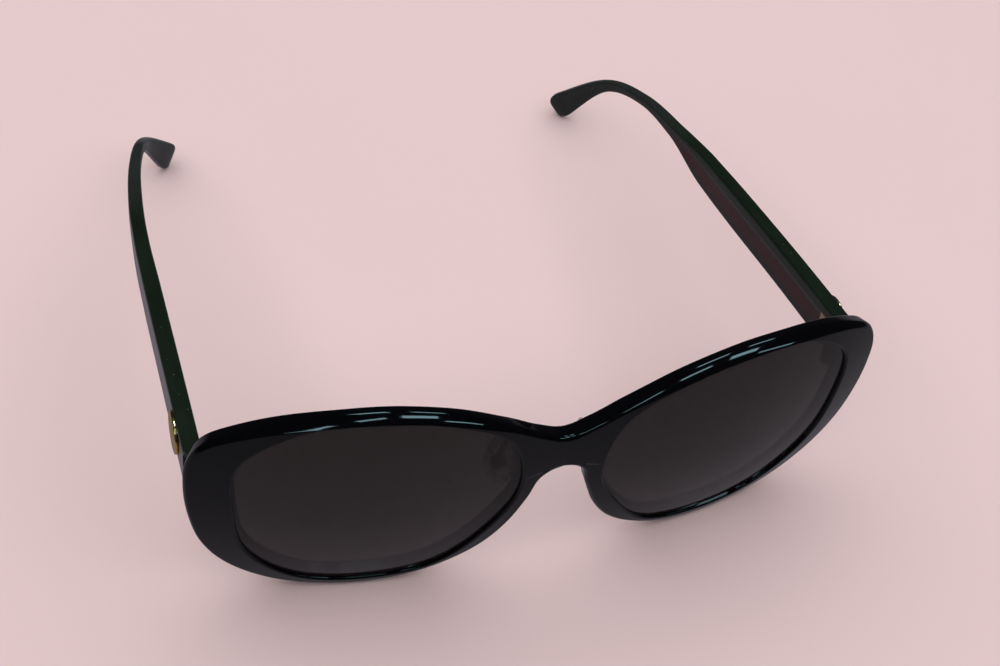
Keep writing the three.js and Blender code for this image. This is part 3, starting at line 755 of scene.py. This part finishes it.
def temple_piece(side_name, side):
    body = np.linspace(0, TIP_FROM, BAR_RINGS)
    over = np.sin(np.linspace(0, math.pi / 2, TIP_RINGS))[1:]
    shares = np.concatenate([body, TIP_FROM + (1 - TIP_FROM) * over])
    scale = np.concatenate([np.ones(len(body)), (1 - over**TIP_POWER) ** (1 / TIP_POWER)])
    scale[-1] = TIP_LEAST
    centre, along, outwards, up, height, thickness = temple_at(shares)
    hinge = hinge_axes()
    away, base = hinge[:3, 1], hinge[:3, 3]
    rings, layers, reach = [], [], []
    for i, size in enumerate(scale):
        t, h = thickness[i] / 2 * size, height[i] / 2 * size
        section = bar_section(t, h, min(TEMPLE_ROUND, 0.95 * t))
        ring = centre[i] + section[:, :1] * outwards[i] + section[:, 1:] * up[i]
        if i < MITRE_RINGS:
            slant = MITRE_GAP + MITRE_SPREAD * (1 - i / MITRE_RINGS)
            short = np.maximum(slant - (ring - base) @ away, 0)
            ring = ring + np.outer(short / (along[i] @ away), along[i])
        ring[:, 2] = np.maximum(ring[:, 2], TABLE + 0.02)
        rings.append(ring)
        layers += [*(0.5 + 0.5 * section[:, 1] / (height[i] / 2))]
        reach += [shares[i]] * len(section)
    piece = tube_piece(f"{side_name}_temple_bar", rings, side)
    for key, values, ends in (("layer", layers, (0.5, 0.5)), ("reach", reach, (0, 1))):
        attribute = piece.data.attributes.new(key, "FLOAT", "POINT")
        attribute.data.foreach_set("value", np.array([*values, *ends], np.float32))
    return finish(piece, "laminated_acetate", f"{side_name}_temple", f"{side_name}_temple")


# ---- Roundels ----


def roundel_piece(side_name, side):
    centre, along, outwards, up, _, thickness = (v[0] for v in temple_at(ROUNDEL_AT))
    axes = basis(centre + outwards * thickness / 2, outwards, along, up)
    rings = lathe_rings(ROUNDEL_PROFILE, ROUNDEL_STEPS)
    # Fine flutes round the edge
    angles = np.arange(ROUNDEL_STEPS) * 2 * math.pi / ROUNDEL_STEPS
    flute = 1 - FLUTE_DEPTH * (0.5 + 0.5 * np.cos(angles * FLUTES))
    for ring, (_, radius) in zip(rings, ROUNDEL_PROFILE):
        if radius > FLUTED_FROM:
            ring[:, 1:] *= flute[:, None]
    piece = tube_piece(f"{side_name}_gilt_roundel", moved(rings, axes), side)
    keep_edges_crisp(piece, 50)
    return finish(piece, "gilt_metal", f"{side_name}_temple", f"{side_name}_roundel")


# ---- Hinges ----


def upright_rings(profile, axis, z=0):
    """Rings round a hinge's axis from (height, radius) pairs."""
    return lathe_rings(profile, TURNED_STEPS)[:, :, [1, 2, 0]] + (axis[0], axis[1], z)


def barrel_rings(z, axis):
    half, radius, edge = BARREL_HEIGHT / 2, BARREL_RADIUS, 0.15
    upper = [
        (half, 0.0), (half, radius - edge), (half - 0.3 * edge, radius - 0.3 * edge),
        (half - edge, radius),
    ]
    profile = [(-height, r) for height, r in upper] + upper[::-1]
    return upright_rings(profile, axis, z)


def block(name, low, high, edge, matrix, side):
    rings = box_rings(low, high, edge)
    return tube_piece(name, moved(rings, matrix), side)


def hinge_pieces(side_name, side):
    hinge = hinge_axes()
    axis = moved([(0, HINGE_STAND_OFF, 0)], hinge)[0]
    front_leaf_piece(side_name, side, hinge, axis)
    temple_leaf_piece(side_name, side, axis)
    screw = screw_piece(f"{side_name}_hinge_bolt", axis, side)
    finish(screw, "hinge_bronze", "front", f"{side_name}_hinge_screw")


def front_leaf_piece(side_name, side, hinge, axis):
    """Plate on the back of the front, with the top and bottom barrels."""
    parts = [block("plate", *FRONT_LEAF, 0.25, hinge, side)]
    for way in (-1, 1):
        z = way * BARREL_PITCH
        parts.append(tube_piece("barrel", barrel_rings(HINGE_Z + z, axis), side))
        low, high = (-1, -0.4, z - WEB_HALF_HEIGHT), (1, HINGE_STAND_OFF, z + WEB_HALF_HEIGHT)
        parts.append(block("web", low, high, 0.12, hinge, side))
    leaf = join_pieces(f"{side_name}_front_leaf", parts)
    keep_edges_crisp(leaf)
    finish(leaf, "hinge_bronze", "front", f"{side_name}_hinge_front_leaf")


def temple_leaf_piece(side_name, side, axis):
    """Plate let into the temple's inner face, with the middle barrel."""
    shares = np.linspace(0, 0.2, 2001)
    ways_back = temple_at(shares)[0][:, 1]
    middle = np.interp(TEMPLE_LEAF_Y + TEMPLE_LEAF_LENGTH / 2, ways_back, shares)
    start = np.interp(TEMPLE_LEAF_Y, ways_back, shares)
    centre, along, outwards, up, _, thickness = (v[0] for v in temple_at(middle))
    plate_axes = basis(centre - outwards * thickness / 2, outwards, along, up)
    length, height = TEMPLE_LEAF_LENGTH / 2, TEMPLE_LEAF_HEIGHT / 2
    plate = block("plate", (-0.12, -length, -height), (0.9, length, height), 0.25, plate_axes, side)
    centre, _, _, _, _, thickness = (v[0] for v in temple_at(start))
    face_x = centre[0] - thickness / 2 + 0.6
    web = block(
        "web",
        (axis[0], axis[1] - WEB_WIDTH / 2, HINGE_Z - WEB_HALF_HEIGHT),
        (face_x, TEMPLE_LEAF_Y + WEB_WIDTH, HINGE_Z + WEB_HALF_HEIGHT),
        0.12,
        np.eye(4),
        side,
    )
    knuckle = tube_piece("barrel", barrel_rings(HINGE_Z, axis), side)
    leaf = join_pieces(f"{side_name}_temple_leaf", [plate, web, knuckle])
    keep_edges_crisp(leaf)
    finish(leaf, "hinge_bronze", f"{side_name}_temple", f"{side_name}_hinge_temple_leaf")


def screw_piece(name, axis, side):
    """Slotted cheese head on the top barrel, its shank through the hinge and its riveted end below."""
    top = HINGE_Z + BARREL_PITCH + BARREL_HEIGHT / 2
    bottom = HINGE_Z - BARREL_PITCH - BARREL_HEIGHT / 2
    r = SCREW_HEAD_RADIUS
    profile = [
        (bottom - 0.05, 0.0), (bottom - 0.05, 0.5), (bottom + 0.1, SCREW_RADIUS), (top, SCREW_RADIUS),
        (top, r - 0.08), (top + 0.1, r), (top + 0.5, r), (top + 0.68, r - 0.1), (top + 0.78, r - 0.3),
        (top + 0.82, 0.6), (top + 0.82, 0.0),
    ]
    piece = tube_piece(name, upright_rings(profile, axis), side)
    width = SLOT_HALF_WIDTH["hinge"]
    upright = basis((axis[0], axis[1], 0), *np.eye(3))
    cut_slot(piece, block("slot", (-2, -width, top + 0.45), (2, width, top + 1.5), 0.02, upright, side))
    return piece


def cut_slot(piece, slot):
    """The slot's block is taken out of the piece, and is then gone."""
    cut = piece.modifiers.new("slot", "BOOLEAN")
    cut.operation = "DIFFERENCE"
    cut.solver = "EXACT"
    cut.object = slot
    apply_modifiers(piece)
    bpy.data.objects.remove(slot)
    keep_edges_crisp(piece)


def apply_modifiers(piece):
    graph = bpy.context.evaluated_depsgraph_get()
    mesh = bpy.data.meshes.new_from_object(piece.evaluated_get(graph))
    piece.modifiers.clear()
    piece.data = mesh


# ---- Nose pads ----


def pad_axes():
    turn = Matrix.Rotation(-PAD_SPLAY, 4, "Z") @ Matrix.Rotation(-PAD_FLARE, 4, "Y")
    turn.translation = PAD_CENTRE
    return np.array(turn)


def pad_piece(side_name, side):
    """A flattened ball with a level back whose edge is rounded."""
    thickness, width, height = PAD_HALF
    axes = pad_axes()
    rings = []
    for row in range(1, PAD_ROWS):
        polar = math.pi * row / PAD_ROWS
        ring = []
        for k in range(PAD_STEPS):
            around = 2 * math.pi * k / PAD_STEPS
            x = thickness * math.sin(polar) * math.cos(around)
            y = width * math.sin(polar) * math.sin(around)
            z = height * math.cos(polar)
            ring.append((level_back(x), y, -z))
        rings.append(ring)
    piece = tube_piece(f"{side_name}_silicone_pad", moved(rings, axes), side)
    return finish(piece, "silicone", f"{side_name}_pad", f"{side_name}_nose_pad")


def level_back(x):
    """x, held softly below the pad's level back."""
    if x <= 0:
        return x
    soft = PAD_EDGE_SOFTNESS
    return -soft * math.log(math.exp(-x / soft) + math.exp(-(PAD_BACK - 0.05) / soft))


def pad_lathe(name, profile, side):
    return tube_piece(name, moved(lathe_rings(profile, TURNED_STEPS), pad_axes()), side)


def pad_metal(side_name, side):
    r = INSERT_RADIUS
    disc = pad_lathe(
        f"{side_name}_pad_disc",
        [
            (0.1, 0.0), (0.1, r - 0.1), (0.16, r), (0.82, r), (0.9, r - 0.1), (0.9, 1.0), (0.82, 0.9),
            (0.82, 0.0),
        ],
        side,
    )
    keep_edges_crisp(disc)
    finish(disc, "pad_steel", f"{side_name}_pad", f"{side_name}_pad_insert")
    head = EYE_SPAN[1] + 0.3
    screw = pad_lathe(
        f"{side_name}_pad_bolt",
        [
            (0.6, 0.0), (0.6, 0.45), (head, 0.45), (head, 0.9), (head + 0.1, 1.0), (head + 0.3, 1.0),
            (head + 0.42, 0.9), (head + 0.5, 0.7), (head + 0.5, 0.0),
        ],
        side,
    )
    slot_half = SLOT_HALF_WIDTH["pad"]
    low, high = (head + 0.25, -slot_half, -2), (head + 1, slot_half, 2)
    cut_slot(screw, block("slot", low, high, 0.02, pad_axes(), side))
    finish(screw, "pad_steel", f"{side_name}_pad", f"{side_name}_pad_screw")


def wire_rings(line, radius, count):
    """Rings along a line of points, turned as little as can be from one to the next."""
    line = np.asarray(line)
    along = unit(np.gradient(line, axis=0))
    across = unit(np.cross(along[0], (0, 0, 1) if abs(along[0][2]) < 0.9 else (1, 0, 0)))
    angles = np.arange(count) * 2 * math.pi / count
    rings = []
    for point, way in zip(line, along):
        across = unit(across - way * (across @ way))
        other = np.cross(way, across)
        circle = np.outer(np.cos(angles), across) + np.outer(np.sin(angles), other)
        rings.append(point + radius * circle)
    return rings


def arm_piece(side_name, side):
    axes = pad_axes()
    middle = sum(EYE_SPAN) / 2 + 0.2
    route = [
        on_sheet(*ARM_ROOT, FRONT_DEPTH - ARM_ROOT_DEPTH),
        *ARM_BENDS,
        moved([(middle + 0.6, -0.4, 3.6)], axes)[0],
        moved([(middle, 0, 1.38)], axes)[0],
    ]
    line = catmull_rom(route, np.linspace(0, 1, 90))
    wire = tube_piece("wire", wire_rings(line, ARM_RADIUS, 24), side)
    low, high = EYE_SPAN
    profile = [
        (low, 0.75), (low, EYE_RADIUS - 0.15), (low + 0.1, EYE_RADIUS), (high - 0.1, EYE_RADIUS),
        (high, EYE_RADIUS - 0.15), (high, 0.75),
    ]
    eye_rings = moved(lathe_rings(profile, TURNED_STEPS), axes)
    eye_faces = grid_faces(len(profile), TURNED_STEPS, closed_rings=True)
    eye = mesh_piece("eye", eye_rings.reshape(-1, 3), eye_faces, side)
    arm = join_pieces(f"{side_name}_wire_arm", [wire, eye])
    keep_edges_crisp(arm)
    finish(arm, "pad_steel", "front", f"{side_name}_pad_arm")


# ---- Putting it together ----

finish(front_piece(), "black_acetate", "front", "front_frame")
for side_name, side in SIDES.items():
    lens_piece(side_name, side)
    temple_piece(side_name, side)
    roundel_piece(side_name, side)
    hinge_pieces(side_name, side)
    pad_piece(side_name, side)
    pad_metal(side_name, side)
    arm_piece(side_name, side)
    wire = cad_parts[f"{side_name}_core_wire"]
    wire.data.materials.clear()
    wire.data.materials.append(MATERIALS["core_steel"])

# ---- Stage, light and camera ----


def table():
    bpy.ops.mesh.primitive_plane_add(size=8, location=(0, 0, 0))
    floor = bpy.context.object
    floor.name = "table"
    floor.data.materials.append(table_top())
    floor.visible_glossy = False


def studio():
    world = bpy.data.worlds.new("studio")
    bpy.context.scene.world = world
    world.use_nodes = True
    nodes, links = world.node_tree.nodes, world.node_tree.links
    coordinates = nodes.new("ShaderNodeTexCoord")
    axes = nodes.new("ShaderNodeSeparateXYZ")
    links.new(coordinates.outputs["Generated"], axes.inputs[0])
    ramp = nodes.new("ShaderNodeValToRGB")
    while len(ramp.color_ramp.elements) < len(SURROUND):
        ramp.color_ramp.elements.new(0.5)
    for element, (position, colour) in zip(ramp.color_ramp.elements, SURROUND):
        element.position = position
        element.color = (*colour, 1)
    height = nodes.new("ShaderNodeMapRange")
    height.inputs["From Min"].default_value = -1
    links.new(axes.outputs["Z"], height.inputs["Value"])
    links.new(height.outputs["Result"], ramp.inputs["Fac"])
    links.new(ramp.outputs["Color"], nodes["Background"].inputs["Color"])


def panel(name, location, size, power, colour=(1, 1, 1), target=(0, 0, 0.02), glossy=True):
    light = bpy.data.lights.new(name, "AREA")
    light.shape = "RECTANGLE"
    light.size, light.size_y = size
    light.energy = power
    light.color = colour
    holder = bpy.data.objects.new(name, light)
    bpy.context.scene.collection.objects.link(holder)
    holder.location = location
    holder.rotation_euler = (Vector(target) - Vector(location)).to_track_quat("-Z", "Y").to_euler()
    holder.visible_glossy = glossy
    return holder


def window(name, start, end, width):
    """A strip of bright panes from start to end, facing down."""
    length = (end - start).length
    power = WINDOW_RADIANCE * math.pi * length * width
    light = panel(name, (start + end) / 2, (length, width), power, WINDOW_COLOUR)
    light.rotation_euler = (0, 0, math.atan2(end.y - start.y, end.x - start.x))
    light.visible_diffuse = False


def camera():
    data = bpy.data.cameras.new("camera")
    data.sensor_width = 36
    data.lens = FOCAL_LENGTH
    data.clip_start = 0.01
    holder = bpy.data.objects.new("camera", data)
    bpy.context.scene.collection.objects.link(holder)
    holder.location = datum + Vector(CAMERA_FROM_DATUM) * MM
    holder.rotation_euler = [math.radians(angle) for angle in CAMERA_TURN]
    bpy.context.scene.camera = holder


table()
studio()
panel("overhead", (0.0, 0.1, 1.5), (4, 4), OVERHEAD_POWER, OVERHEAD_COLOUR, glossy=False)
for i, (start, end, width) in enumerate(WINDOWS):
    window(f"window_{i}", Vector((*start, WINDOW_HEIGHT)), Vector((*end, WINDOW_HEIGHT)), width)
camera()
bpy.context.scene.view_settings.view_transform = "Standard"
